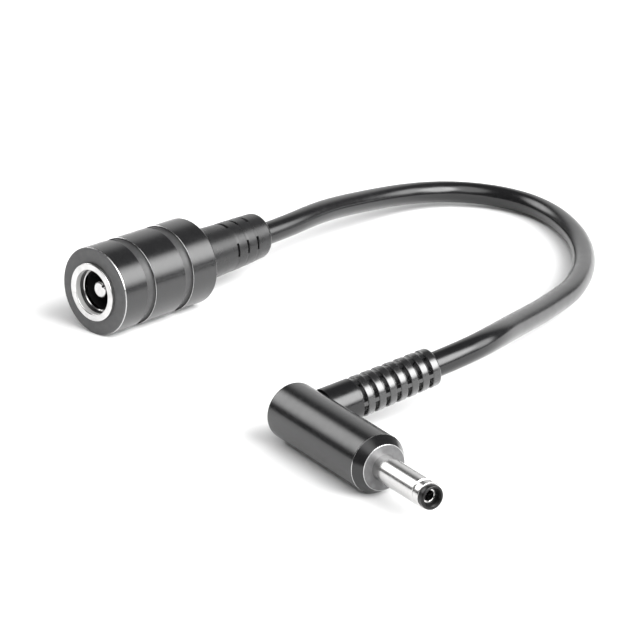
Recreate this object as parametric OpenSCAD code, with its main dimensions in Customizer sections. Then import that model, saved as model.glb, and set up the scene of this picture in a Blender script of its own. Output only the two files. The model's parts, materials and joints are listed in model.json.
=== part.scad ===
// DC power adapter lead: a straight 5.5 x 2.5 socket on a turned sleeve, a short
// round cable, and a right-angle 3.5 x 1.35 barrel plug with a ribbed strain relief.
// The socket opens towards -Y, the cable lies on the floor at Z = 0, millimetres.

/* [Socket sleeve] */
// Outside diameter of the turned sleeve
shell_d = 13; // [12:0.1:15]
// Length of the sleeve
shell_len = 18.7; // [17:0.1:24]
// Thickness of the sleeve's tube wall
shell_wall = 1.3; // [1:0.1:1.6]
// Thickness of the sleeve's front wall
shell_front = 1.6; // [1.4:0.1:2.2]
// Radius of the sleeve's outer edges
shell_edge = 0.3; // [0.1:0.05:0.5]
// Front edge of the first groove, behind the face
groove_1 = 4.5; // [3:0.1:6]
// Front edge of the second groove, behind the face
groove_2 = 12.1; // [9:0.1:14]
// Width of each groove
groove_w = 1.6; // [0.8:0.1:2.2]
// Depth of each groove
groove_deep = 0.35; // [0.15:0.05:0.6]

/* [Socket] */
// Outside diameter of the nickel mouth ring
ring_d = 8.6; // [8:0.1:9.2]
// Opening of the mouth ring
mouth_d = 6.6; // [6.3:0.1:7]
// Length of the mouth ring that stands out of the face
ring_out = 0.55; // [0.3:0.05:0.9]
// Length of the mouth ring inside the face
ring_in = 0.35; // [0.2:0.05:0.6]
// Gap between the mouth ring and the contact collar
ring_gap = 0.4; // [0.3:0.05:0.6]
// Length of the contact collar
collar_len = 0.6; // [0.4:0.05:1]
// Bore that the mating plug slides in
socket_bore = 5.8; // [5.6:0.05:6]
// Depth of the socket behind the face
socket_deep = 11; // [9.5:0.1:11.8]
// Thickness of the socket's insulating floor
socket_floor = 2; // [1.5:0.1:2.5]
// Diameter of the centre pin
pin_d = 2.5; // [1.9:0.05:2.6]
// Distance of the pin's tip behind the face
pin_back = 1; // [0.4:0.1:2]
// Width of the slit that splits the pin
slit_w = 0.32; // [0.2:0.02:0.4]
// Length of the slit
slit_len = 5.5; // [3:0.1:8]
// Width of the spring leaf of the sleeve contact
leaf_w = 1.6; // [1.2:0.1:2.2]
// Thickness of the spring leaf
leaf_t = 0.3; // [0.2:0.05:0.35]

/* [Socket strain relief] */
// Diameter of the flare at the sleeve
flare_d = 9.7; // [9:0.1:10.2]
// Length of the flare
flare_len = 3.4; // [2:0.1:4]
// Diameter of the relief behind the flare
tail_d = 8.1; // [7.5:0.1:8.6]
// Diameter of the relief at its cable end
tail_end_d = 7.1; // [6.5:0.1:7.4]
// Length of the relief outside the sleeve
tail_len = 15.1; // [13:0.1:18]
// Radius of the relief's end edge
tail_edge = 0.7; // [0.3:0.1:1]
// Number of slotted rows round the relief
tail_slots = 3; // [2:1:4]
// Distance of the first slotted row behind the sleeve
tail_slot_at = 7.4; // [6:0.1:8.5]
// Spacing of the slotted rows
tail_slot_pitch = 2.15; // [1.8:0.05:2.3]
// Width of each slot
tail_slot_w = 0.6; // [0.4:0.05:1]
// Depth of each slot
tail_slot_deep = 0.7; // [0.3:0.05:1]

/* [Plug body] */
// Diameter of the plug's moulded body
body_d = 7.8; // [7.4:0.1:9]
// Length of the body
body_len = 22.1; // [20:0.1:26]
// Width of the front bevel, along the radius
bevel_r = 0.9; // [0.4:0.1:1.2]
// Length of the front bevel, along the axis
bevel_l = 1.45; // [0.6:0.05:2]
// Radius of the body's rear edge
body_edge = 0.25; // [0.1:0.05:0.25]
// Thickness of the front wall round the barrel
body_front = 0.9; // [0.7:0.1:1.1]
// Distance from the rear face to the axis of the side branch
branch_in = 3.15; // [3.15:0.05:3.4]

/* [Plug strain relief] */
// Diameter of the branch at the body
branch_d = 5.7; // [5.4:0.1:5.8]
// Diameter of the branch at its cable end
branch_end_d = 5.2; // [4.9:0.1:5.4]
// Length of the branch from the body's axis
branch_len = 19.7; // [19:0.1:24]
// Number of grooves between the ribs
rib_grooves = 7; // [4:1:7]
// Middle of the first groove, from the body's axis
rib_at = 7.75; // [6.5:0.05:8]
// Spacing of the grooves
rib_pitch = 1.72; // [1.4:0.02:1.75]
// Width of each groove
rib_groove_w = 0.65; // [0.4:0.05:0.8]
// Depth of the groove all round
rib_ring_deep = 0.22; // [0.1:0.02:0.3]
// Depth of the four windows in each groove
rib_window_deep = 0.7; // [0.4:0.05:0.8]
// Radius of the branch's end edge
branch_edge = 0.35; // [0.1:0.05:0.5]

/* [Barrel] */
// Outside diameter of the nickel barrel
barrel_d = 3.5; // [3.3:0.05:3.8]
// Length of the barrel that stands out of the body
barrel_len = 10; // [9:0.1:12]
// Diameter of the barrel's neck, which the front wall grips
neck_d = 3.15; // [3.05:0.05:3.2]
// Bore of the barrel round its insulator
barrel_bore = 2.6; // [2.5:0.05:2.8]
// Length of the black tip beyond the barrel
tip_len = 0.85; // [0.5:0.05:1.2]
// Diameter of the black tip
tip_d = 3.16; // [3:0.02:3.3]
// Distance of the ring groove from the barrel's rim
ring_groove_at = 1; // [0.7:0.1:2]
// Width of the ring groove
ring_groove_w = 0.3; // [0.2:0.05:0.5]
// Depth of the ring groove
ring_groove_deep = 0.17; // [0.05:0.01:0.22]
// Mouth of the black tip
tip_mouth_d = 2.4; // [2.2:0.05:2.6]
// Depth of the tip's mouth
tip_mouth_deep = 0.75; // [0.4:0.05:1.2]
// Bore of the inner contact that takes the mating pin
contact_bore = 1.4; // [1.35:0.01:1.45]
// Outside diameter of the inner contact
contact_d = 1.9; // [1.8:0.05:2]

/* [Cable] */
// Diameter of the cable
cable_d = 3.5; // [3.4:0.05:3.6]
// Diameter of each insulated wire
wire_d = 1.5; // [1.3:0.05:1.5]
// Spacing of the two wires
wire_pitch = 1.7; // [1.6:0.05:1.7]
// Straight run of the cable behind each moulding
cable_straight = 6; // [4:0.5:6.5]

/* [Placing] */
// Socket face, across
jack_x = -36.5; // [-60:0.1:0]
// Socket face, along
jack_y = -6.77; // [-40:0.01:20]
// Front of the plug's body, across
plug_x = 32.2; // [10:0.1:60]
// Front of the plug's body, along
plug_y = -22.47; // [-50:0.01:20]
// Turn of the plug's axis from +X
plug_turn = -16.4; // [-30:0.1:0]
// Lift of the side branch out of the level
branch_lift = 9.6; // [0:0.1:12]

/* [Hidden] */
$fn = 64;
eps = 0.01;
shell_r = shell_d / 2;
core_r = shell_r - shell_wall;
collar_at = ring_in + ring_gap;
collar_end = collar_at + collar_len;
core_end = socket_deep + socket_floor;
tail_end = shell_len + tail_len;
stem_d = 1.6;
stem_len = 1.6;
solder_d = 2;
solder_len = 1;
leaf_r = socket_bore / 2;
leaf_turn = 135;
tag_end = core_end + stem_len + 0.4;
body_r = body_d / 2;
branch_back = body_len - branch_in;
mould_r = body_r - 0.8;
mould_end = 12;
flange_at = 2.2;
flange_t = 0.8;
flange_d = 5;
tag_t = 0.4;
seat_t = 1;
seat_d = 4;
seat_at = flange_at + flange_t + tag_t;
contact_end = seat_at + seat_t;
tail_pin_d = 1.2;
tail_slot_turns = [-30, 60, 150, 240];
rib_window_turns = [26, 96, 206, 276];
plug_solder_at = 8.5;
bend_r = 1.2;
bend_z = -branch_back + wire_pitch / 2 + bend_r;
bend_y = wire_pitch / 2 + bend_r;

// Where the cable leaves each moulding, and which way it points there.
jack_exit = [jack_x, jack_y + tail_end, shell_r];
jack_way = [0, 1, 0];
plug_axis = [cos(plug_turn), sin(plug_turn), 0];
plug_way = [
    -sin(plug_turn) * cos(branch_lift),
    cos(plug_turn) * cos(branch_lift),
    sin(branch_lift)
];
plug_exit = [plug_x, plug_y, body_r] - plug_axis * branch_back + plug_way * branch_len;

// The cable's route between its two straight ends.
cable_mid = [
    [-37.8, 40.4, 6.4], [-39.2, 47.4, 5.7], [-40.2, 54.3, 4.8], [-40.8, 61.2, 3.9],
    [-40.4, 68.1, 3.1], [-37.9, 74.3, 2.5], [-32.7, 78.4, 2.1], [-25.9, 79.5, 1.9],
    [-19.2, 77.7, 1.8], [-13.2, 74.2, 1.8], [-7.8, 69.9, 1.8], [-3, 64.8, 1.9],
    [1.1, 59.3, 2.1], [4.7, 53.3, 2.5], [7.8, 47, 3], [10.3, 40.5, 3.8],
    [13, 33.4, 4.8], [15.6, 26.3, 6], [18.2, 19.2, 7.2], [20.5, 12.8, 8.2]
];
cable_path = concat(
    [jack_exit, jack_exit + jack_way * cable_straight],
    cable_mid,
    [plug_exit + plug_way * cable_straight, plug_exit]
);
cable_sides = 8;

function unit(v) = v / norm(v);
function cable_dir(i) =
    i == 0 ? jack_way
    : i == len(cable_path) - 1 ? -plug_way
    : unit(cable_path[i + 1] - cable_path[i - 1]);
function cable_side(i) = unit(cross([0, 0, 1], cable_dir(i)));
function cable_ring(i) = [
    for (k = [0 : cable_sides - 1])
        let (a = (k + 0.5) * 360 / cable_sides)
        let (up = cross(cable_dir(i), cable_side(i)))
        cable_path[i] + cable_d / 2 * (cos(a) * cable_side(i) + sin(a) * up)
];
function arc(cx, cy, r, from, to, n = 6) = [
    for (i = [0 : n])
        let (a = from + (to - from) * i / n)
        [cx + r * cos(a), cy + r * sin(a)]
];

// Socket frame: z runs from the face into the sleeve.
module at_jack() {
    translate([jack_x, jack_y, shell_r])
        rotate([-90, 0, 0])
            children();
}

// Plug frame: z = 0 at the body's front face, z positive along the barrel, y along the branch.
module at_plug() {
    translate([plug_x, plug_y, body_r])
        rotate([0, 0, plug_turn])
            rotate([0, 90, 0])
                rotate([0, 0, branch_lift])
                    children();
}

// Branch frame: z runs out along the branch from the body's axis.
module at_branch() {
    translate([0, 0, -branch_back])
        rotate([-90, 0, 0])
            children();
}

module ring(outer, inner, from, to) {
    translate([0, 0, from])
        difference() {
            cylinder(d = outer, h = to - from);
            translate([0, 0, -1])
                cylinder(d = inner, h = to - from + 2);
        }
}

// One row of four slots: the bridges between them stay whole.
module slot_row(outer_r, deep, width, spans, span) {
    for (a = spans)
        rotate([0, 0, a])
            rotate_extrude(angle = span)
                translate([outer_r - deep, -width / 2])
                    square([deep + 1, width]);
}

module jack_shell() {
    color([0.09, 0.09, 0.1])
        at_jack()
            difference() {
                rotate_extrude()
                    polygon(concat(
                        [[0, 0]],
                        arc(shell_r - shell_edge, shell_edge, shell_edge, -90, 0),
                        arc(shell_r - shell_edge, shell_len - shell_edge, shell_edge, 0, 90),
                        [[0, shell_len]]
                    ));
                for (z = [groove_1, groove_2])
                    ring(shell_d + 2, shell_d - 2 * groove_deep, z, z + groove_w);
                translate([0, 0, -1])
                    cylinder(d = ring_d, h = shell_front + 2);
                translate([0, 0, shell_front])
                    cylinder(r = core_r, h = shell_len);
            }
}

module jack_mouth_ring() {
    color([0.8, 0.8, 0.79])
        at_jack()
            rotate_extrude()
                polygon([
                    [mouth_d / 2, ring_in],
                    [ring_d / 2, ring_in],
                    [ring_d / 2, 0.15 - ring_out],
                    [ring_d / 2 - 0.15, -ring_out],
                    [mouth_d / 2 + 0.2, -ring_out],
                    [mouth_d / 2, 0.2 - ring_out]
                ]);
}

module leaf_strip(from, to) {
    rotate([0, 0, leaf_turn])
        translate([leaf_r, -leaf_w / 2, from])
            cube([leaf_t, leaf_w, to - from]);
}

module jack_housing() {
    color([0.05, 0.05, 0.05])
        at_jack()
            difference() {
                union() {
                    translate([0, 0, ring_in])
                        cylinder(d = ring_d, h = shell_front - ring_in + eps);
                    translate([0, 0, shell_front])
                        cylinder(r = core_r, h = core_end - shell_front);
                }
                translate([0, 0, -1])
                    cylinder(d = mouth_d, h = 1 + collar_end);
                translate([0, 0, -1])
                    cylinder(d = socket_bore, h = 1 + socket_deep);
                leaf_strip(collar_at, core_end + 1);
                cylinder(d = stem_d, h = core_end + 1);
            }
}

module jack_sleeve_contact() {
    color([0.75, 0.74, 0.7])
        at_jack() {
            ring(mouth_d, socket_bore, collar_at, collar_end);
            leaf_strip(collar_end - eps, tag_end);
        }
}

module jack_centre_pin() {
    color([0.83, 0.83, 0.82])
        at_jack()
            difference() {
                rotate_extrude()
                    polygon([
                        [0, pin_back],
                        [pin_d / 2 - 0.3, pin_back],
                        [pin_d / 2, pin_back + 0.3],
                        [pin_d / 2, socket_deep],
                        [stem_d / 2, socket_deep],
                        [stem_d / 2, core_end + stem_len],
                        [0, core_end + stem_len]
                    ]);
                rotate([0, 0, leaf_turn])
                    translate([-slit_w / 2, -pin_d, pin_back - 1])
                        cube([slit_w, 2 * pin_d, slit_len + 1]);
            }
}

module jack_solder_centre() {
    color([0.7, 0.7, 0.7])
        at_jack()
            rotate([0, 0, leaf_turn])
                translate([-wire_pitch / 4, 0, core_end + stem_len])
                    cylinder(d = solder_d, h = solder_len);
}

module jack_solder_sleeve() {
    color([0.7, 0.7, 0.7])
        at_jack()
            rotate([0, 0, leaf_turn])
                translate([(leaf_r + wire_pitch / 2) / 2 + 0.4, 0, tag_end])
                    cylinder(d = solder_d, h = solder_len);
}

module jack_wire_centre(past = 0) {
    from = core_end + stem_len + solder_len;
    color([0.6, 0.1, 0.1])
        at_jack()
            rotate([0, 0, leaf_turn])
                translate([-wire_pitch / 2, 0, from])
                    cylinder(d = wire_d, h = tail_end + past - from);
}

module jack_wire_sleeve(past = 0) {
    from = tag_end + solder_len;
    color([0.12, 0.12, 0.12])
        at_jack()
            rotate([0, 0, leaf_turn])
                translate([wire_pitch / 2, 0, from])
                    cylinder(d = wire_d, h = tail_end + past - from);
}

module jack_strain_relief() {
    color([0.12, 0.12, 0.12])
        difference() {
            at_jack()
                difference() {
                    rotate_extrude()
                        polygon(concat(
                            [[0, core_end], [core_r, core_end], [core_r, shell_len]],
                            [
                                for (t = [0 : 0.25 : 1])
                                    [tail_d / 2 + (flare_d - tail_d) / 2 * pow(1 - t, 2),
                                        shell_len + flare_len * t]
                            ],
                            arc(tail_end_d / 2 - tail_edge, tail_end - tail_edge, tail_edge, 0, 90),
                            [[0, tail_end]]
                        ));
                    for (i = [0 : tail_slots - 1])
                        translate([0, 0, shell_len + tail_slot_at + i * tail_slot_pitch])
                            slot_row(tail_d / 2, tail_slot_deep, tail_slot_w, tail_slot_turns, 60);
                }
            jack_centre_pin();
            jack_sleeve_contact();
            jack_solder_centre();
            jack_solder_sleeve();
            jack_wire_centre(past = 1);
            jack_wire_sleeve(past = 1);
        }
}

module cable_jacket() {
    n = len(cable_path);
    s = cable_sides;
    color([0.07, 0.07, 0.07])
        polyhedron(
            points = [for (i = [0 : n - 1]) each cable_ring(i)],
            faces = concat(
                [[for (k = [0 : s - 1]) k]],
                [[for (k = [s - 1 : -1 : 0]) (n - 1) * s + k]],
                [
                    for (i = [0 : n - 2], k = [0 : s - 1])
                        let (m = (k + 1) % s)
                        [i * s + k, (i + 1) * s + k, (i + 1) * s + m, i * s + m]
                ]
            )
        );
}

module plug_wire(turn_r, solder_at, past) {
    translate([0, bend_y, bend_z - turn_r])
        rotate([-90, 0, 0])
            cylinder(d = wire_d, h = branch_len + past - bend_y);
    translate([0, bend_y, bend_z])
        rotate([0, 90, 0])
            rotate([0, 0, -90])
                rotate_extrude(angle = 90)
                    translate([turn_r, 0])
                        circle(d = wire_d);
    translate([0, bend_y - turn_r, bend_z])
        cylinder(d = wire_d, h = -solder_at - bend_z);
}

module plug_wire_centre(past = 0) {
    color([0.6, 0.1, 0.1])
        at_plug()
            plug_wire(bend_r, plug_solder_at + solder_len, past);
}

module plug_wire_sleeve(past = 0) {
    color([0.12, 0.12, 0.12])
        at_plug()
            plug_wire(bend_r + wire_pitch, plug_solder_at + solder_len, past);
}

module plug_block() {
    at_plug()
        translate([0, 0, -mould_end])
            cylinder(r = mould_r, h = mould_end - body_front);
}

// Radius of the branch at a distance from the body's axis.
function branch_r(at) =
    branch_d / 2 - (branch_d - branch_end_d) / 2 * (at - body_r) / (branch_len - body_r);

module branch_form() {
    $fn = 32;
    difference() {
        rotate_extrude()
            polygon(concat(
                [[0, 0], [branch_d / 2, 0], [branch_d / 2, body_r]],
                [
                    for (i = [0 : rib_grooves - 1], p = [[-1, 0], [-1, 1], [1, 1], [1, 0]])
                        let (at = rib_at + i * rib_pitch + p[0] * rib_groove_w / 2)
                        [branch_r(at) - p[1] * rib_ring_deep, at]
                ],
                arc(branch_end_d / 2 - branch_edge, branch_len - branch_edge, branch_edge, 0, 90),
                [[0, branch_len]]
            ));
        for (i = [0 : rib_grooves - 1])
            translate([0, 0, rib_at + i * rib_pitch])
                slot_row(branch_r(rib_at + i * rib_pitch), rib_window_deep, rib_groove_w,
                    rib_window_turns, 58);
    }
}

module plug_cover() {
    color([0.09, 0.09, 0.1])
        difference() {
            at_plug() {
                rotate_extrude()
                    polygon(concat(
                        [[0, -body_len]],
                        arc(body_r - body_edge, body_edge - body_len, body_edge, -90, 0),
                        [[body_r, -bevel_l], [body_r - bevel_r, 0], [0, 0]]
                    ));
                at_branch()
                    branch_form();
            }
            plug_block();
            at_plug()
                translate([0, 0, -body_front - 1])
                    cylinder(d = neck_d, h = body_front + 2);
            plug_wire_centre(past = 1);
            plug_wire_sleeve(past = 1);
        }
}

module plug_inner_mould() {
    color([0.85, 0.84, 0.8])
        difference() {
            plug_block();
            plug_barrel(solid = true);
            plug_sleeve_tag();
            plug_insulator();
            plug_centre_contact();
            plug_solder_centre();
            plug_solder_sleeve();
            plug_wire_centre();
            plug_wire_sleeve();
        }
}

module plug_barrel(solid = false) {
    groove_start = barrel_len - ring_groove_at - ring_groove_w;
    color([0.82, 0.82, 0.81])
        at_plug()
            difference() {
                union() {
                    cylinder(d = barrel_d, h = barrel_len);
                    translate([0, 0, -flange_at - eps])
                        cylinder(d = neck_d, h = flange_at + 2 * eps);
                    translate([0, 0, -flange_at - flange_t])
                        cylinder(d = flange_d, h = flange_t);
                }
                ring(barrel_d + 1, barrel_d - 2 * ring_groove_deep,
                    groove_start, groove_start + ring_groove_w);
                if (!solid)
                    translate([0, 0, -flange_at - flange_t - 1])
                        cylinder(d = barrel_bore, h = barrel_len + flange_at + flange_t + 2);
            }
}

module plug_sleeve_tag() {
    color([0.72, 0.7, 0.64])
        at_plug() {
            ring(flange_d, barrel_bore, -seat_at, tag_t - seat_at);
            translate([-leaf_w / 2, -flange_d / 2 + 0.05, -plug_solder_at])
                cube([leaf_w, leaf_t, plug_solder_at - seat_at + eps]);
        }
}

module plug_insulator() {
    color([0.04, 0.04, 0.04])
        at_plug()
            difference() {
                union() {
                    translate([0, 0, -contact_end])
                        cylinder(d = seat_d, h = seat_t);
                    translate([0, 0, -seat_at - eps])
                        cylinder(d = barrel_bore, h = barrel_len + seat_at + 2 * eps);
                    translate([0, 0, barrel_len])
                        rotate_extrude()
                            polygon([
                                [0, 0], [tip_d / 2, 0], [tip_d / 2, tip_len - 0.2],
                                [tip_d / 2 - 0.2, tip_len], [0, tip_len]
                            ]);
                }
                translate([0, 0, -contact_end - 1])
                    cylinder(d = contact_d, h = contact_end + barrel_len + 1);
                translate([0, 0, barrel_len + tip_len - tip_mouth_deep])
                    cylinder(d = tip_mouth_d, h = tip_mouth_deep + 1);
                translate([0, 0, barrel_len - 1])
                    cylinder(d = contact_d, h = tip_len + 1);
            }
}

module plug_centre_contact() {
    color([0.8, 0.78, 0.7])
        at_plug()
            difference() {
                union() {
                    translate([0, 0, -contact_end])
                        cylinder(d = contact_d, h = contact_end + barrel_len);
                    translate([0, 0, -contact_end - tag_t])
                        cylinder(d = contact_d + 0.6, h = tag_t);
                    translate([0, 0, -plug_solder_at])
                        cylinder(d = tail_pin_d, h = plug_solder_at - contact_end);
                }
                translate([0, 0, -flange_at])
                    cylinder(d = contact_bore, h = flange_at + barrel_len + 1);
            }
}

module plug_solder_centre() {
    color([0.7, 0.7, 0.7])
        at_plug()
            translate([0, wire_pitch / 4, -plug_solder_at - solder_len])
                cylinder(d = 0.9 * solder_d, h = solder_len);
}

module plug_solder_sleeve() {
    color([0.7, 0.7, 0.7])
        at_plug()
            translate([0, -wire_pitch / 4 - flange_d / 4, -plug_solder_at - solder_len])
                cylinder(d = 0.9 * solder_d, h = solder_len);
}

jack_shell();
jack_mouth_ring();
jack_housing();
jack_sleeve_contact();
jack_centre_pin();
jack_solder_centre();
jack_solder_sleeve();
jack_wire_centre();
jack_wire_sleeve();
jack_strain_relief();
cable_jacket();
plug_cover();
plug_inner_mould();
plug_barrel();
plug_insulator();
plug_centre_contact();
plug_sleeve_tag();
plug_solder_centre();
plug_solder_sleeve();
plug_wire_centre();
plug_wire_sleeve();
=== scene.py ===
# DC power adapter lead: a straight socket in a grooved sleeve, a short cable and a
# right-angle barrel plug. Places are in metres, in the frame of the solids. Profiles are
# in millimetres from the start of their own axis, and MM turns those into metres.
import json
import math

import bmesh
import bpy
from mathutils import Matrix, Vector


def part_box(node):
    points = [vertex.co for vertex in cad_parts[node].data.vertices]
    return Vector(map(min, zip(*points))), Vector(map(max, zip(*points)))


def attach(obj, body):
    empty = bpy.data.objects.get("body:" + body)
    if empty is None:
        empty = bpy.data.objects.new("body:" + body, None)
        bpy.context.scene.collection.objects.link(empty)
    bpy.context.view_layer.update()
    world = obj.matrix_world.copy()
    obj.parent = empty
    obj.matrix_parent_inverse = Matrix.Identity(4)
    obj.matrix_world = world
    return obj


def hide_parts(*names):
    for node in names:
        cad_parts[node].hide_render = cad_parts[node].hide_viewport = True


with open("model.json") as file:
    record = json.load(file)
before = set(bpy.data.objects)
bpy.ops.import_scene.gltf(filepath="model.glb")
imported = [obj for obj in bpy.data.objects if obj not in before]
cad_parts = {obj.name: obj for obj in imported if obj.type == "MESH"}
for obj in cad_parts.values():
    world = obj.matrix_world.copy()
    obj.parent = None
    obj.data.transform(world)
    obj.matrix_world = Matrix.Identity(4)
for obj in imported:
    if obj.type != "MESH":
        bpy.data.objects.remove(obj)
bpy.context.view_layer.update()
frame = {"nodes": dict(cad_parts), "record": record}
MM = 0.001


# ---- Camera -----------------------------------------------------------------
# A long lens on a tripod looks down at 20 degrees across the open side of the loop.
# It aims at a point on the table between the two connectors.
aim = Vector((-16.6, 19.4, 0)) * MM
reach, swing, drop = 392 * MM, math.radians(42.3), math.radians(20.04)
camera = bpy.data.objects.new("camera", bpy.data.cameras.new("camera"))
bpy.context.scene.collection.objects.link(camera)
camera.data.lens = 151
camera.data.sensor_width = 36
camera.data.clip_start = 0.01
camera.location = aim + reach * Vector(
    (math.sin(swing) * math.cos(drop), -math.cos(swing) * math.cos(drop), math.sin(drop))
)
camera.rotation_euler = (math.pi / 2 - drop, 0, swing)
bpy.context.scene.camera = camera


# ---- Cable ------------------------------------------------------------------
# A round two-core cable in a glossy black PVC jacket, 3.5 mm across and moulded into
# both connectors. It drops from the socket to the table, sweeps round and climbs
# again to the plug's branch.
class Socket:
    """An output of a shader node. A sum of sockets and numbers adds Math nodes."""

    def __init__(self, net, out):
        self.net, self.out = net, out

    def __add__(self, other):
        return self.net.node("ShaderNodeMath", {"operation": "ADD"}, self, other)

    __radd__ = __add__

    def ramp(self, low, high, to_low, to_high, soft=False):
        """Moves the range from low to high onto another range and stops at its ends."""
        shape = {"interpolation_type": "SMOOTHSTEP" if soft else "LINEAR"}
        return self.net.node("ShaderNodeMapRange", shape, self, low, high, to_low, to_high)


class Net:
    """A shader's node tree."""

    def __init__(self, tree):
        self.tree = tree

    def feed(self, slot, value):
        if isinstance(value, Socket):
            self.tree.links.new(value.out, slot)
        else:
            slot.default_value = value

    def node(self, kind, settings, *values, out=0, **named):
        """Adds a node: its settings, then its sockets in order or by name."""
        node = self.tree.nodes.new(kind)
        for key, value in settings.items():
            setattr(node, key, value)
        for slot, value in zip(node.inputs, values):
            self.feed(slot, value)
        for key, value in named.items():
            self.feed(node.inputs[key.replace("_", " ")], value)
        return Socket(self, node.outputs[out])


class Finish(Net):
    """One material: a Principled shader and the nodes that vary it over the surface."""

    def __init__(self, name, colour, roughness, **constants):
        self.material = bpy.data.materials.new(name)
        self.material.use_nodes = True
        super().__init__(self.material.node_tree)
        self.shader = self.tree.nodes["Principled BSDF"]
        self.shader.inputs["Base Color"].default_value = (*colour, 1)
        self.shader.inputs["Roughness"].default_value = roughness
        for key, value in constants.items():
            self.shader.inputs[key.replace("_", " ")].default_value = value
        self.place = self.node("ShaderNodeTexCoord", {}, out="Object")

    def noise(self, size, detail=2.0):
        """Cloudy noise whose blobs are about size metres across."""
        return self.node(
            "ShaderNodeTexNoise", {}, Vector=self.place, Scale=1 / size, Detail=detail
        )

    def clouds(self, size, low, high, detail=2.0):
        """The same noise, with its usual values of 0.3 to 0.7 spread from low to high."""
        return self.noise(size, detail).ramp(0.3, 0.7, low, high)

    def rough(self, value):
        self.feed(self.shader.inputs["Roughness"], value)

    def tint(self, amount, dark, light):
        """Base Color between two colours, as amount goes from 0 to 1."""
        mixed = self.node(
            "ShaderNodeMix", {"data_type": "RGBA"}, out="Result",
            Factor=amount, A=(*dark, 1), B=(*light, 1),
        )
        self.feed(self.shader.inputs["Base Color"], mixed)

    def bump(self, height, depth):
        """Relief of depth metres where height goes from 0 to 1."""
        relief = self.node(
            "ShaderNodeBump", {}, Height=height, Distance=depth, Strength=1.0, out="Normal"
        )
        self.feed(self.shader.inputs["Normal"], relief)


exit_way = Vector((0, 1, 0))
socket_low, socket_high = (Vector(corner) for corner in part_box("jack_strain_relief"))
socket_exit = Vector((
    (socket_low.x + socket_high.x) / 2, socket_high.y, (socket_low.z + socket_high.z) / 2
))
barrel_mount = next(m for m in frame["record"]["mounts"] if m["name"] == "plug_barrel")
plug_turn = math.atan2(barrel_mount["axis"][1], barrel_mount["axis"][0])
plug_height = barrel_mount["pos_m"][2]
plug_front = Vector((32.2 * MM, -22.47 * MM, plug_height))
branch_lift, branch_back, branch_len = math.radians(9.6), 18.95 * MM, 19.7 * MM
to_plug = (
    Matrix.Translation(plug_front)
    @ Matrix.Rotation(plug_turn, 4, "Z")
    @ Matrix.Rotation(math.pi / 2, 4, "Y")
    @ Matrix.Rotation(branch_lift, 4, "Z")
)
to_branch = (
    to_plug
    @ Matrix.Translation((0, 0, -branch_back))
    @ Matrix.Rotation(-math.pi / 2, 4, "X")
)
plug_exit = to_branch @ Vector((0, 0, branch_len))
branch_way = (to_branch.to_3x3() @ Vector((0, 0, 1))).normalized()

cable_d = 3.5 * MM
cable_route = [
    (-37.8, 40.4, 6.4), (-39.2, 47.4, 5.7), (-40.2, 54.3, 4.8), (-40.8, 61.2, 3.9),
    (-40.4, 68.1, 3.1), (-37.9, 74.3, 2.5), (-32.7, 78.4, 2.1), (-25.9, 79.5, 1.9),
    (-19.2, 77.7, 1.8), (-13.2, 74.2, 1.8), (-7.8, 69.9, 1.8), (-3, 64.8, 1.9),
    (1.1, 59.3, 2.1), (4.7, 53.3, 2.5), (7.8, 47, 3), (10.3, 40.5, 3.8),
    (13, 33.4, 4.8), (15.6, 26.3, 6), (18.2, 19.2, 7.2), (20.5, 12.8, 8.2),
]
cable_straight = 6 * MM
near_socket = [socket_exit, socket_exit + cable_straight * exit_way]
near_plug = [plug_exit + cable_straight * branch_way, plug_exit]
cable_points = near_socket + [Vector(p) * MM for p in cable_route] + near_plug
cable_curve = bpy.data.curves.new("cable", "CURVE")
cable_curve.dimensions = "3D"
cable_curve.bevel_depth = cable_d / 2
cable_curve.bevel_resolution = 10
cable_curve.resolution_u = 12
cable_curve.use_fill_caps = True
run = cable_curve.splines.new("NURBS")
run.points.add(len(cable_points) - 1)
for k, point in enumerate(cable_points):
    knot = point
    if 1 < k < len(cable_points) - 2:
        # A spline cuts its corners, so a bend's knot lies outside it by a sixth of the turn.
        knot = point + (2 * point - cable_points[k - 1] - cable_points[k + 1]) / 6
    run.points[k].co = (*knot, 1)
run.order_u = 4
run.use_endpoint_u = True
cable = bpy.data.objects.new("cable", cable_curve)
bpy.context.scene.collection.objects.link(cable)

jacket = Finish("cable_black", (0.006, 0.006, 0.0065), 0.2, Specular_IOR_Level=0.6)
jacket.rough(jacket.clouds(1.5 * MM, 0.16, 0.24))
jacket.bump(jacket.noise(2.5 * MM, 3.0), 0.006 * MM)
cable_curve.materials.append(jacket.material)
cable_span = sum((b - a).length for a, b in zip(cable_points, cable_points[1:]))
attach(cable, "root")
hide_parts("cable_jacket")


# ---- Sleeve of the socket ---------------------------------------------------
# A round sleeve with a glossy black finish. The face and the two grooves are cut on a lathe
# after finishing, so they are matte grey, and each cut leaves a bright edge. The groove
# floors take a darker copy of that grey, which is painted shade in the grooves.
def arc(r, z, radius, start, end, steps=6):
    """Profile points on an arc, in millimetres and degrees, from the axis outwards."""
    turn = [math.radians(start + (end - start) * i / steps) for i in range(steps + 1)]
    return [(r + radius * math.cos(t), z + radius * math.sin(t)) for t in turn]


def held(profile, hold=0.04):
    """Adds a point close to both ends of each long stretch, so that it shades straight."""
    points = profile[:1]
    for (r0, z0), (r1, z1) in zip(profile, profile[1:]):
        length = math.hypot(r1 - r0, z1 - z0)
        if length > 10 * hold:
            for t in (hold / length, 1 - hold / length):
                points.append((r0 + (r1 - r0) * t, z0 + (z1 - z0) * t))
        points.append((r1, z1))
    return points


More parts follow.
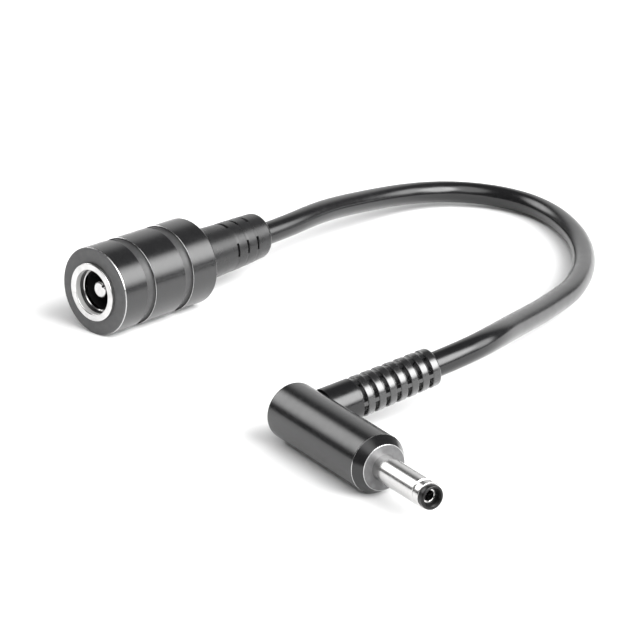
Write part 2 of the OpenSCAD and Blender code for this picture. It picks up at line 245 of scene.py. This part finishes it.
def lathe(name, place, *bands, sides=160):
    """Turns bands of (finish, profile points) about the Z axis of place into a closed skin.

    Each band starts where the last one ended. A profile that ends where it starts makes a
    ring, and one that ends on the axis makes a solid."""
    verts, faces, marks, rings, finishes, last = [], [], [], [], [], []
    turns = [2 * math.pi * k / sides for k in range(sides)]
    for finish, profile in bands:
        if finish not in finishes:
            finishes.append(finish)
        for r, z in held(last + profile)[len(last):]:
            rings.append(len(verts))
            verts += [place @ (MM * Vector((r * math.cos(a), r * math.sin(a), z))) for a in turns]
            if len(rings) > 1:
                low, high = rings[-2:]
                for k in range(sides):
                    m = (k + 1) % sides
                    faces.append((low + k, low + m, high + m, high + k))
                    marks.append(finishes.index(finish))
        last = profile[-1:]
    mesh = bpy.data.meshes.new(name)
    mesh.from_pydata(verts, [], faces)
    mesh.polygons.foreach_set("material_index", marks)
    for finish in finishes:
        mesh.materials.append(finish.material)
    return finished(name, mesh)


def finished(name, mesh):
    """Closes seams and poles, turns every face outwards and makes an object of the mesh."""
    skin = bmesh.new()
    skin.from_mesh(mesh)
    bmesh.ops.remove_doubles(skin, verts=skin.verts, dist=0.0005 * MM)
    bmesh.ops.dissolve_degenerate(skin, edges=skin.edges, dist=0.0002 * MM)
    bmesh.ops.recalc_face_normals(skin, faces=skin.faces)
    skin.to_mesh(mesh)
    skin.free()
    mesh.shade_smooth()
    mesh.set_sharp_from_angle(angle=math.radians(32))
    piece = bpy.data.objects.new(name, mesh)
    bpy.context.scene.collection.objects.link(piece)
    return piece


def dress(piece, node):
    """Fixes a piece to the part and puts it in the place of its solid."""
    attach(piece, "root")
    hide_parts(node)


shell_low, shell_high = (Vector(corner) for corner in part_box("jack_shell"))
shell_r = (shell_high.z - shell_low.z) / 2 / MM
shell_len = (shell_high.y - shell_low.y) / MM
to_socket = (
    Matrix.Translation((socket_exit.x, shell_low.y, socket_exit.z))
    @ Matrix.Rotation(-math.pi / 2, 4, "X")
)
edge, matte_to, bright_to, bright = 0.3, -35, -5, 0.04
grooves, groove_w, groove_deep, groove_ease = (4.5, 12.1), 1.6, 0.35, 0.08
ring_r, ring_ease, core_r, front_wall = 4.3, 0.05, 5.2, 1.6

gloss = Finish("gloss_black", (0.007, 0.007, 0.0075), 0.2, Specular_IOR_Level=0.9)
gloss.rough(gloss.clouds(0.9 * MM, 0.17, 0.23))
gloss.bump(gloss.noise(3 * MM, 2.0), 0.004 * MM)

cut = Finish("turned_grey", (0.07, 0.07, 0.071), 0.5)
cut.tint(cut.clouds(1.2 * MM, 0, 1, 4.0), (0.062, 0.062, 0.063), (0.08, 0.08, 0.081))
cut.rough(cut.clouds(0.4 * MM, 0.44, 0.56))

# The groove floors: the same turned grey at about half its brightness, as painted shade in the
# recess.
groove_cut_painted_shade = Finish("groove_grey_painted_shade", (0.035, 0.035, 0.0355), 0.4, Specular_IOR_Level=0.6)
groove_cut_painted_shade.tint(
    groove_cut_painted_shade.clouds(1.2 * MM, 0, 1, 4.0), (0.03, 0.03, 0.0305), (0.042, 0.042, 0.0425)
)
groove_cut_painted_shade.rough(groove_cut_painted_shade.clouds(0.4 * MM, 0.34, 0.46))

lip = Finish("cut_edge", (0.55, 0.55, 0.55), 0.25, Metallic=1.0)
lip.rough(lip.clouds(0.5 * MM, 0.2, 0.35))

shell_bands = [
    (cut, [(core_r, front_wall), (ring_r, front_wall), (ring_r, ring_ease)]
        + [(ring_r + ring_ease, 0), (shell_r - edge, 0)]
        + arc(shell_r - edge, edge, edge, -90, matte_to)),
    (lip, arc(shell_r - edge, edge, edge, matte_to, bright_to, 3)),
    (gloss, arc(shell_r - edge, edge, edge, bright_to, 0, 1)),
]
for z in grooves:
    floor_r = shell_r - groove_deep
    shell_bands += [
        (gloss, [(shell_r, z - bright)]),
        (lip, [(shell_r - bright, z)]),
        (groove_cut_painted_shade, [
            (floor_r + groove_ease, z), (floor_r, z + groove_ease),
            (floor_r, z + groove_w - groove_ease), (floor_r + groove_ease, z + groove_w),
            (shell_r - bright, z + groove_w),
        ]),
        (lip, [(shell_r, z + groove_w + bright)]),
    ]
shell_bands += [
    (gloss, arc(shell_r - edge, shell_len - edge, edge, 0, 90)),
    (cut, [(core_r, shell_len), (core_r, front_wall)]),
]
shell = lathe("socket_sleeve", to_socket, *shell_bands)
dress(shell, "jack_shell")


# ---- Mouth ring -------------------------------------------------------------
# A turned brass ring, nickel plated, pressed into the sleeve's front wall. It stands a
# little proud of the face and has a lead-in for the mating plug.
nickel = Finish("nickel", (0.6, 0.595, 0.59), 0.16, Metallic=1.0)
nickel.tint(nickel.clouds(1.3 * MM, 0, 1, 3.0), (0.52, 0.515, 0.51), (0.68, 0.675, 0.67))
nickel.rough(nickel.clouds(0.6 * MM, 0.12, 0.24, 3.0))
nickel.bump(nickel.noise(0.8 * MM, 3.0), 0.006 * MM)

bored = Finish("bored_nickel", (0.6, 0.6, 0.59), 0.5, Metallic=0.4)
bored.rough(bored.clouds(0.4 * MM, 0.42, 0.58))
mouth_r, proud, sunk, rim_round, lead_in = 3.3, 0.55, 0.35, 0.12, 0.15
mouth = lathe(
    "mouth_ring", to_socket,
    (nickel, [(mouth_r, sunk), (ring_r, sunk)]
        + arc(ring_r - rim_round, rim_round - proud, rim_round, 0, -90)
        + arc(mouth_r + lead_in, lead_in - proud, lead_in, -90, -150)),
    (bored, [(mouth_r, lead_in - proud), (mouth_r, sunk)]),
    sides=128,
)
dress(mouth, "jack_mouth_ring")


# ---- Inside of the socket ---------------------------------------------------
# A black insulating moulding holds the sleeve contact, whose collar shows as a thin
# bright line, and the split centre pin.
insulator = Finish("insulator_black", (0.012, 0.012, 0.012), 0.42)
insulator.rough(insulator.clouds(0.5 * MM, 0.36, 0.5))
insulator.bump(insulator.noise(0.25 * MM), 0.004 * MM)

collar_at, collar_end, collar_ease = 0.75, 1.35, 0.1
bore_r, bore_deep, stem_r, core_end = 2.9, 11.0, 0.8, 13.0
housing = lathe("socket_housing", to_socket, (insulator, [
    (stem_r, core_end), (core_r, core_end), (core_r, front_wall), (ring_r, front_wall),
    (ring_r, sunk), (mouth_r, sunk), (mouth_r, collar_end), (bore_r, collar_end),
    (bore_r, bore_deep), (stem_r, bore_deep), (stem_r, core_end),
]), sides=96)
dress(housing, "jack_housing")

collar = lathe("contact_collar", to_socket, (nickel, [
    (bore_r, collar_end), (mouth_r, collar_end), (mouth_r, collar_at),
    (bore_r + collar_ease, collar_at), (bore_r, collar_at + collar_ease),
    (bore_r, collar_end),
]), sides=96)
dress(collar, "jack_sleeve_contact")


# The pin is turned and nickel plated. Where its slit has closed up, only a notch in the
# rim of its flat face still shows. The saw runs past the pin's side and face.
pin_r, pin_back, pin_end, pin_round = 1.25, 1.0, 14.6, 0.35
slit_w, slit_len, slit_in, slit_turn = 0.3, 5.5, 0.45, math.radians(-42)
pin = lathe("centre_pin", to_socket, (nickel, [
    (0, pin_end), (stem_r, pin_end), (stem_r, bore_deep), (pin_r, bore_deep),
] + arc(pin_r - pin_round, pin_back + pin_round, pin_round, 0, -90) + [(0, pin_back)]), sides=96)
past = 1.0
slit_middle = Vector((pin_r - slit_in + past / 2, 0, pin_back + (slit_len - past) / 2))
slit_place = (
    to_socket
    @ Matrix.Rotation(slit_turn, 4, "Z")
    @ Matrix.Translation(slit_middle * MM)
    @ Matrix.Diagonal((past * MM, slit_w * MM, (slit_len + past) * MM, 1))
)
slit_mesh = bpy.data.meshes.new("slit")
saw = bmesh.new()
bmesh.ops.create_cube(saw, size=1, matrix=slit_place)
saw.to_mesh(slit_mesh)
saw.free()
slit = bpy.data.objects.new("slit", slit_mesh)
bpy.context.scene.collection.objects.link(slit)


def bake(piece):
    """Turns a piece's live modifiers into its mesh."""
    seen = bpy.context.evaluated_depsgraph_get()
    done = bpy.data.meshes.new_from_object(piece.evaluated_get(seen))
    piece.modifiers.clear()
    piece.data = done


carve = pin.modifiers.new("slit", "BOOLEAN")
carve.operation, carve.object, carve.solver = "DIFFERENCE", slit, "EXACT"
bake(pin)
bpy.data.objects.remove(slit)
dress(pin, "jack_centre_pin")


# ---- Strain relief of the socket --------------------------------------------
# Flexible PVC moulded round the cable and into the sleeve. A flare meets the sleeve,
# and rows of slots leave bridges between the rings so that it bends. The cable lifts
# its free end a little.
satin = Finish("moulded_black", (0.008, 0.008, 0.0085), 0.28, Specular_IOR_Level=0.6)
satin.rough(satin.clouds(1.1 * MM, 0.25, 0.36, 3.0))
satin.bump(satin.noise(0.6 * MM, 3.0), 0.005 * MM)


def row_tree(name):
    """Repeats one ring along Z: each copy is a pitch further and a little narrower."""
    tree = bpy.data.node_groups.new(name, "GeometryNodeTree")
    ends = tree.interface
    ends.new_socket("Geometry", in_out="OUTPUT", socket_type="NodeSocketGeometry")
    for label, kind in (
        ("Ring", "NodeSocketObject"), ("Count", "NodeSocketInt"), ("First", "NodeSocketFloat"),
        ("Pitch", "NodeSocketFloat"), ("Narrowing", "NodeSocketFloat"),
        ("Finish", "NodeSocketMaterial"),
    ):
        ends.new_socket(label, in_out="INPUT", socket_type=kind)
    new, link = tree.nodes.new, tree.links.new
    given, out = new("NodeGroupInput"), new("NodeGroupOutput")
    first, pitch = new("ShaderNodeCombineXYZ"), new("ShaderNodeCombineXYZ")
    line, copies = new("GeometryNodeMeshLine"), new("GeometryNodeInstanceOnPoints")
    ring, index = new("GeometryNodeObjectInfo"), new("GeometryNodeInputIndex")
    less, scale = new("ShaderNodeMath"), new("ShaderNodeCombineXYZ")
    real, paint = new("GeometryNodeRealizeInstances"), new("GeometryNodeSetMaterial")
    line.mode = "OFFSET"
    less.operation = "MULTIPLY_ADD"
    less.inputs[2].default_value = 1.0
    scale.inputs["Z"].default_value = 1.0
    link(given.outputs["Ring"], ring.inputs["Object"])
    link(given.outputs["Count"], line.inputs["Count"])
    link(given.outputs["First"], first.inputs["Z"])
    link(given.outputs["Pitch"], pitch.inputs["Z"])
    link(first.outputs[0], line.inputs["Start Location"])
    link(pitch.outputs[0], line.inputs["Offset"])
    link(index.outputs[0], less.inputs[0])
    link(given.outputs["Narrowing"], less.inputs[1])
    link(less.outputs[0], scale.inputs["X"])
    link(less.outputs[0], scale.inputs["Y"])
    link(line.outputs["Mesh"], copies.inputs["Points"])
    link(ring.outputs["Geometry"], copies.inputs["Instance"])
    link(scale.outputs[0], copies.inputs["Scale"])
    link(copies.outputs["Instances"], real.inputs["Geometry"])
    link(real.outputs["Geometry"], paint.inputs["Geometry"])
    link(given.outputs["Finish"], paint.inputs["Material"])
    link(paint.outputs["Geometry"], out.inputs["Geometry"])
    return tree


rows_of_rings = row_tree("rows_of_rings")
flat = Matrix.Identity(4)


def ring_rows(finish, radius, width, soft, count, first, pitch, narrowing):
    """A stack of rings with rounded edges, about Z.

    The first ring's middle is at first, and each ring narrows by a share of the radius."""
    ring = lathe("ring", flat, (finish, [(0, -width / 2)]
        + arc(radius - soft, soft - width / 2, soft, -90, 0, 3)
        + arc(radius - soft, width / 2 - soft, soft, 0, 90, 3) + [(0, width / 2)]), sides=96)
    stack = bpy.data.objects.new("stack", bpy.data.meshes.new("stack"))
    bpy.context.scene.collection.objects.link(stack)
    rows = stack.modifiers.new("rows", "NODES")
    rows.node_group = rows_of_rings
    values = {"Ring": ring, "Count": count, "First": first * MM, "Pitch": pitch * MM,
              "Narrowing": -narrowing, "Finish": finish.material}
    for item in rows_of_rings.interface.items_tree:
        if item.name in values:
            rows[item.identifier] = values[item.name]
    bake(stack)
    bpy.data.objects.remove(ring)
    return stack


def bridge(finish, start, span, low, high, r_low, r_high):
    """A wedge between two heights: it joins the rings over one span of angle."""
    steps = max(3, int(span / 4))
    corners = [math.radians(start + span * i / steps) for i in range(steps + 1)]
    verts = []
    for z, r in ((low, r_low), (high, r_high)):
        verts.append((0, 0, z * MM))
        verts += [(r * MM * math.cos(a), r * MM * math.sin(a), z * MM) for a in corners]
    n = len(corners) + 1
    faces = [tuple(range(n - 1, -1, -1)), tuple(range(n, 2 * n))]
    faces += [(k, (k + 1) % n, n + (k + 1) % n, n + k) for k in range(n)]
    mesh = bpy.data.meshes.new("bridge")
    mesh.from_pydata(verts, [], faces)
    mesh.materials.append(finish.material)
    return finished("bridge", mesh)


def fuse(name, place, parts):
    """Unites overlapping parts of one finish into one closed skin, put in its place."""
    whole = parts[0]
    for part in parts[1:]:
        union = whole.modifiers.new("union", "BOOLEAN")
        union.operation, union.object, union.solver = "UNION", part, "MANIFOLD"
    bake(whole)
    mesh = whole.data
    mesh.transform(place)
    finish = mesh.materials[0]
    mesh.materials.clear()
    mesh.materials.append(finish)
    mesh.polygons.foreach_set("material_index", [0] * len(mesh.polygons))
    for part in parts:
        bpy.data.objects.remove(part)
    return finished(name, mesh)


tail_len, flare_r, flare_len, tail_r, tail_end_r, tail_edge = 15.1, 5.0, 2.0, 4.0, 3.5, 0.7
slot_at, slot_pitch, slot_w, slot_deep, slot_rows = 7.4, 2.15, 0.4, 0.5, 3
slot_ease, rim_ease, rim_step, rib_middle = 0.1, 0.1, 0.04, 0.8
heart_lap, heart_more, bridge_lap, bridge_sunk = 1.0, 0.2, 0.5, 0.03
bridge_span, bridge_starts = 44, (8, 112, 188, 292)
tail_lift = 0.3 * MM
tail_end = shell_len + tail_len
first_slot = shell_len + slot_at - slot_w / 2
last_slot = first_slot + (slot_rows - 1) * slot_pitch + slot_w
tail_slope = (tail_r - tail_end_r) / (tail_len - flare_len)


def tail_radius(z):
    return tail_r - tail_slope * (z - shell_len - flare_len)


flare = [(flare_r + (tail_r - flare_r) * (1 - (1 - t) ** 2), shell_len + flare_len * t)
         for t in (0, 0.15, 0.3, 0.5, 0.75, 1)]
tail_parts = [
    lathe("root", flat, (satin, [(0, core_end), (core_r, core_end), (core_r, shell_len)] + flare + [
        (tail_radius(first_slot) - rim_step, first_slot - rim_step),
        (tail_radius(first_slot) - rim_ease, first_slot), (0, first_slot),
    ])),
    lathe("heart", flat, (satin, [
        (0, first_slot - heart_lap), (tail_r - slot_deep, first_slot - heart_lap),
        (tail_end_r - slot_deep + heart_more, last_slot + heart_lap), (0, last_slot + heart_lap),
    ])),
    lathe("end", flat, (satin, [
        (0, last_slot), (tail_radius(last_slot) - rim_ease, last_slot),
        (tail_radius(last_slot), last_slot + rim_ease),
    ] + arc(tail_end_r - tail_edge, tail_end - tail_edge, tail_edge, 0, 90) + [(0, tail_end)])),
    ring_rows(
        satin, radius=tail_radius(first_slot + slot_w + rib_middle),
        width=slot_pitch - slot_w, soft=slot_ease, count=slot_rows - 1,
        first=first_slot + slot_w / 2 + slot_pitch / 2, pitch=slot_pitch,
        narrowing=tail_slope * slot_pitch / tail_r,
    ),
]
tail_parts += [
    bridge(
        satin, start, bridge_span, first_slot - bridge_lap, last_slot + bridge_lap,
        tail_radius(first_slot) - bridge_sunk, tail_radius(last_slot) - bridge_sunk,
    )
    for start in bridge_starts
]
tail = fuse("socket_strain_relief", to_socket, tail_parts)
for vert in tail.data.vertices:
    along = max(0, (vert.co.y - shell_high.y) / (tail_len * MM))
    vert.co.z += tail_lift * along ** 2
dress(tail, "jack_strain_relief")


# ---- Body of the plug -------------------------------------------------------
# A round body in the same glossy black as the sleeve. Its front is turned: a bevel with
# two bright edges, then a matte grey face round the barrel.
faced = Finish("faced_grey", (0.15, 0.15, 0.152), 0.4, Metallic=0.6)
faced.tint(faced.clouds(0.9 * MM, 0, 1, 4.0), (0.12, 0.12, 0.121), (0.18, 0.18, 0.182))
faced.rough(faced.clouds(0.4 * MM, 0.34, 0.46))
polished = Finish("plug_black", (0.006, 0.006, 0.0065), 0.2, Specular_IOR_Level=0.6)
polished.rough(polished.clouds(0.9 * MM, 0.17, 0.24))
polished.bump(polished.noise(3 * MM, 2.0), 0.004 * MM)
body_r, body_len, bevel_r, bevel_len, body_edge = 3.9, 22.1, 0.9, 1.45, 0.25
barrel_neck_r, body_front = 1.575, 0.9
body = lathe(
    "plug_body", to_plug,
    (polished, [(0, -body_len)]
        + arc(body_r - body_edge, body_edge - body_len, body_edge, -90, 0)
        + [(body_r, -bevel_len - bright)]),
    (lip, [(body_r - bright, -bevel_len + bright)]),
    (polished, [(body_r - bevel_r + bright, -bright)]),
    (lip, [(body_r - bevel_r - bright, 0)]),
    (faced, [(barrel_neck_r, 0), (barrel_neck_r, -body_front), (0, -body_front)]),
)
dress(body, "plug_cover")


# ---- Strain relief of the plug ----------------------------------------------
# The branch is moulded with the body. A smooth neck leads to seven grooves, each a
# shallow ring with four deeper windows, and the ribs between them flex.
branch_r, branch_end_r, branch_edge, branch_in = 2.85, 2.6, 0.35, 3.15
rib_at, rib_pitch, rib_groove, rib_count, rib_round = 7.75, 1.72, 0.65, 7, 0.14
window_deep, neck_ease, collar_step = 0.7, 0.08, 0.1
branch_end = branch_len / MM
rib_slope = (branch_r - branch_end_r) / (branch_end - body_r)


def branch_radius(at):
    return branch_r - rib_slope * (at - body_r)


ribbed = Finish(
    "ribbed_black", (0.008, 0.008, 0.0085), 0.24,
    Specular_IOR_Level=0.9, Coat_Weight=0.7, Coat_Roughness=0.24,
)
ribbed.rough(ribbed.clouds(0.8 * MM, 0.2, 0.3, 3.0))
ribbed.bump(ribbed.noise(0.5 * MM, 3.0), 0.004 * MM)

neck_end = rib_at - rib_groove / 2
ribs_end = rib_at + (rib_count - 1) * rib_pitch + rib_groove / 2
neck = lathe("plug_neck", to_branch, (polished, [
    (0, branch_in), (branch_r, branch_in), (branch_r, body_r),
    (branch_radius(neck_end), neck_end - neck_ease),
    (branch_radius(neck_end) - neck_ease, neck_end), (0, neck_end),
]))
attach(neck, "root")

relief_parts = [
    lathe("heart", flat, (ribbed, [
        (0, neck_end - heart_lap), (branch_r - window_deep, neck_end - heart_lap),
        (branch_end_r - window_deep, ribs_end + bridge_lap), (0, ribs_end + bridge_lap),
    ])),
    lathe("collar", flat, (ribbed, [
        (0, ribs_end), (branch_radius(ribs_end) - collar_step, ribs_end),
        (branch_radius(ribs_end), ribs_end + collar_step),
    ] + arc(branch_end_r - branch_edge, branch_end - branch_edge, branch_edge, 0, 90)
        + [(0, branch_end)])),
    ring_rows(
        ribbed, radius=branch_radius(rib_at + rib_pitch / 2), width=rib_pitch - rib_groove,
        soft=rib_round, count=rib_count - 1, first=rib_at + rib_pitch / 2,
        pitch=rib_pitch, narrowing=rib_slope * rib_pitch / branch_r,
    ),
]
relief_parts += [
    bridge(
        ribbed, start, span, neck_end - bridge_lap, ribs_end + bridge_lap,
        branch_radius(neck_end) - sunk_by, branch_radius(ribs_end) - sunk_by,
    )
    for start, span, sunk_by in ((84, 12, 0.1), (264, 12, 0.1), (154, 52, 0.22), (-26, 52, 0.22))
]
relief = fuse("plug_strain_relief", to_branch, relief_parts)
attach(relief, "root")


# ---- Barrel and tip ---------------------------------------------------------
# The barrel is a nickel-plated brass tube with one fine ring groove near its rim. The
# black insulator runs through it and ends in a wide mouth round the inner contact.
plated = Finish("barrel_nickel", (0.6, 0.595, 0.59), 0.2, Metallic=1.0)
plated.rough(plated.clouds(0.5 * MM, 0.17, 0.27, 3.0))
plated.bump(plated.noise(1.2 * MM, 2.0), 0.004 * MM)

barrel_r, barrel_len, barrel_bore, barrel_edge = 1.75, 10.0, 1.3, 0.1
flange_r, flange_back, flange_front = 2.5, -3, -2.2
fine_at, fine_w, fine_deep, fine_out, fine_in = 1.0, 0.3, 0.17, 0.04, 0.06
fine_low, fine_top = barrel_len - fine_at - fine_w, barrel_len - fine_at
barrel = lathe("plug_barrel", to_plug, (plated, [
    (barrel_bore, flange_back), (flange_r, flange_back), (flange_r, flange_front),
    (barrel_neck_r, flange_front), (barrel_neck_r, 0), (barrel_r, 0),
    (barrel_r, fine_low - fine_out), (barrel_r - fine_deep, fine_low + fine_in),
    (barrel_r - fine_deep, fine_top - fine_in), (barrel_r, fine_top + fine_out),
] + arc(barrel_r - barrel_edge, barrel_len - barrel_edge, barrel_edge, 0, 90, 4)
    + [(barrel_bore, barrel_len), (barrel_bore, flange_back)]), sides=128)
dress(barrel, "plug_barrel")

tip_black = Finish("tip_black", (0.005, 0.005, 0.005), 0.3, Specular_IOR_Level=0.35)
tip_black.rough(tip_black.clouds(0.4 * MM, 0.24, 0.38))
tip_len, tip_r, tip_round, contact_r = 0.85, 1.58, 0.22, 0.95
hollow_r, hollow_deep, hollow_ease, hollow_step = 1.2, 0.75, 0.06, 0.08
collet_r, collet_back, collet_front = 2, -4.4, -3.4
tip_top = barrel_len + tip_len
tip = lathe("plug_tip", to_plug, (tip_black, [
    (contact_r, collet_back), (collet_r, collet_back), (collet_r, collet_front),
    (barrel_bore, collet_front), (barrel_bore, barrel_len), (tip_r, barrel_len),
] + arc(tip_r - tip_round, tip_top - tip_round, tip_round, 0, 90, 5) + [
    (hollow_r + hollow_ease, tip_top), (hollow_r, tip_top - hollow_step),
    (hollow_r, tip_top - hollow_deep), (contact_r, tip_top - hollow_deep),
    (contact_r, collet_back),
]), sides=96)
dress(tip, "plug_insulator")

contact_bore, contact_bottom, contact_out, contact_in = 0.7, -2.2, 0.06, 0.05
post_r, post_back, head_r, head_back = 0.6, -8.5, 1.25, -4.8
contact = lathe("inner_contact", to_plug, (plated, [
    (0, post_back), (post_r, post_back), (post_r, head_back), (head_r, head_back),
    (head_r, collet_back), (contact_r, collet_back),
    (contact_r, barrel_len - contact_out), (contact_r - contact_out, barrel_len),
    (contact_bore + contact_in, barrel_len), (contact_bore, barrel_len - contact_in),
    (contact_bore, contact_bottom), (0, contact_bottom),
]), sides=96)
dress(contact, "plug_centre_contact")


# ---- Wires, solder and inner moulding ---------------------------------------
# These are sealed inside the connectors and keep their solid shapes.
for label, nodes, colour, rough, metal in (
    ("wire_red", ("jack_wire_centre", "plug_wire_centre"), (0.45, 0.03, 0.02), 0.35, 0),
    ("wire_black", ("jack_wire_sleeve", "plug_wire_sleeve"), (0.03, 0.03, 0.03), 0.35, 0),
    ("solder", ("jack_solder_centre", "jack_solder_sleeve", "plug_solder_centre",
                "plug_solder_sleeve"), (0.62, 0.62, 0.62), 0.35, 1),
    ("tag_tinned", ("plug_sleeve_tag",), (0.66, 0.65, 0.62), 0.3, 1),
    ("inner_white", ("plug_inner_mould",), (0.7, 0.69, 0.64), 0.5, 0),
):
    inner = Finish(label, colour, rough, Metallic=metal)
    inner.rough(inner.clouds(0.8 * MM, rough - 0.06, rough + 0.08))
    inner.bump(inner.noise(0.5 * MM), 0.01 * MM)
    for node in nodes:
        for slot in frame["nodes"][node].material_slots:
            slot.material = inner.material


# ---- Floor and light --------------------------------------------------------
# A white sheet under round soft lights so far away that only their direction counts:
# a wide one above and behind the camera, a small one on each side, one over the plug
# and a dim wall at the back.
pale = Finish("pale_sheet", (0.86, 0.86, 0.86), 0.9)
pale.tint(pale.noise(300 * MM), (0.85, 0.85, 0.85), (0.87, 0.87, 0.87))
far = 3.0
sheet_mesh = bpy.data.meshes.new("floor")
sheet_mesh.from_pydata(
    [(-far, -far, 0), (far, -far, 0), (far, far, 0), (-far, far, 0)], [], [(0, 1, 2, 3)]
)
sheet_mesh.materials.append(pale.material)
floor = bpy.data.objects.new("floor", sheet_mesh)
bpy.context.scene.collection.objects.link(floor)

world = bpy.data.worlds.new("room")
world.use_nodes = True
room = Net(world.node_tree)
way = room.node("ShaderNodeTexCoord", {}, out="Generated")


def lamp(azimuth, height, inner, outer, strength):
    """A round light in degrees: full strength out to inner, and none beyond outer."""
    turn, rise = math.radians(azimuth), math.radians(height)
    centre = (
        math.cos(rise) * math.cos(turn), math.cos(rise) * math.sin(turn), math.sin(rise)
    )
    facing = room.node(
        "ShaderNodeVectorMath", {"operation": "DOT_PRODUCT"}, way, centre, out="Value"
    )
    rim, core = math.cos(math.radians(outer)), math.cos(math.radians(inner))
    return facing.ramp(rim, core, 0, strength, soft=True)


light = (
    0.13
    + lamp(-40, 52, 22, 36, 2.6)
    + lamp(47, 25, 4, 24, 5)
    + lamp(8, 35, 11, 31, 10)
    + lamp(-172.5, 30, 0, 23, 4.3)
    + lamp(125, 13, 12, 35, 0.9)
)
backdrop = world.node_tree.nodes["Background"]
backdrop.inputs["Color"].default_value = (1, 1, 1, 1)
room.feed(backdrop.inputs["Strength"], light)
bpy.context.scene.world = world
bpy.context.scene.view_settings.view_transform = "Standard"
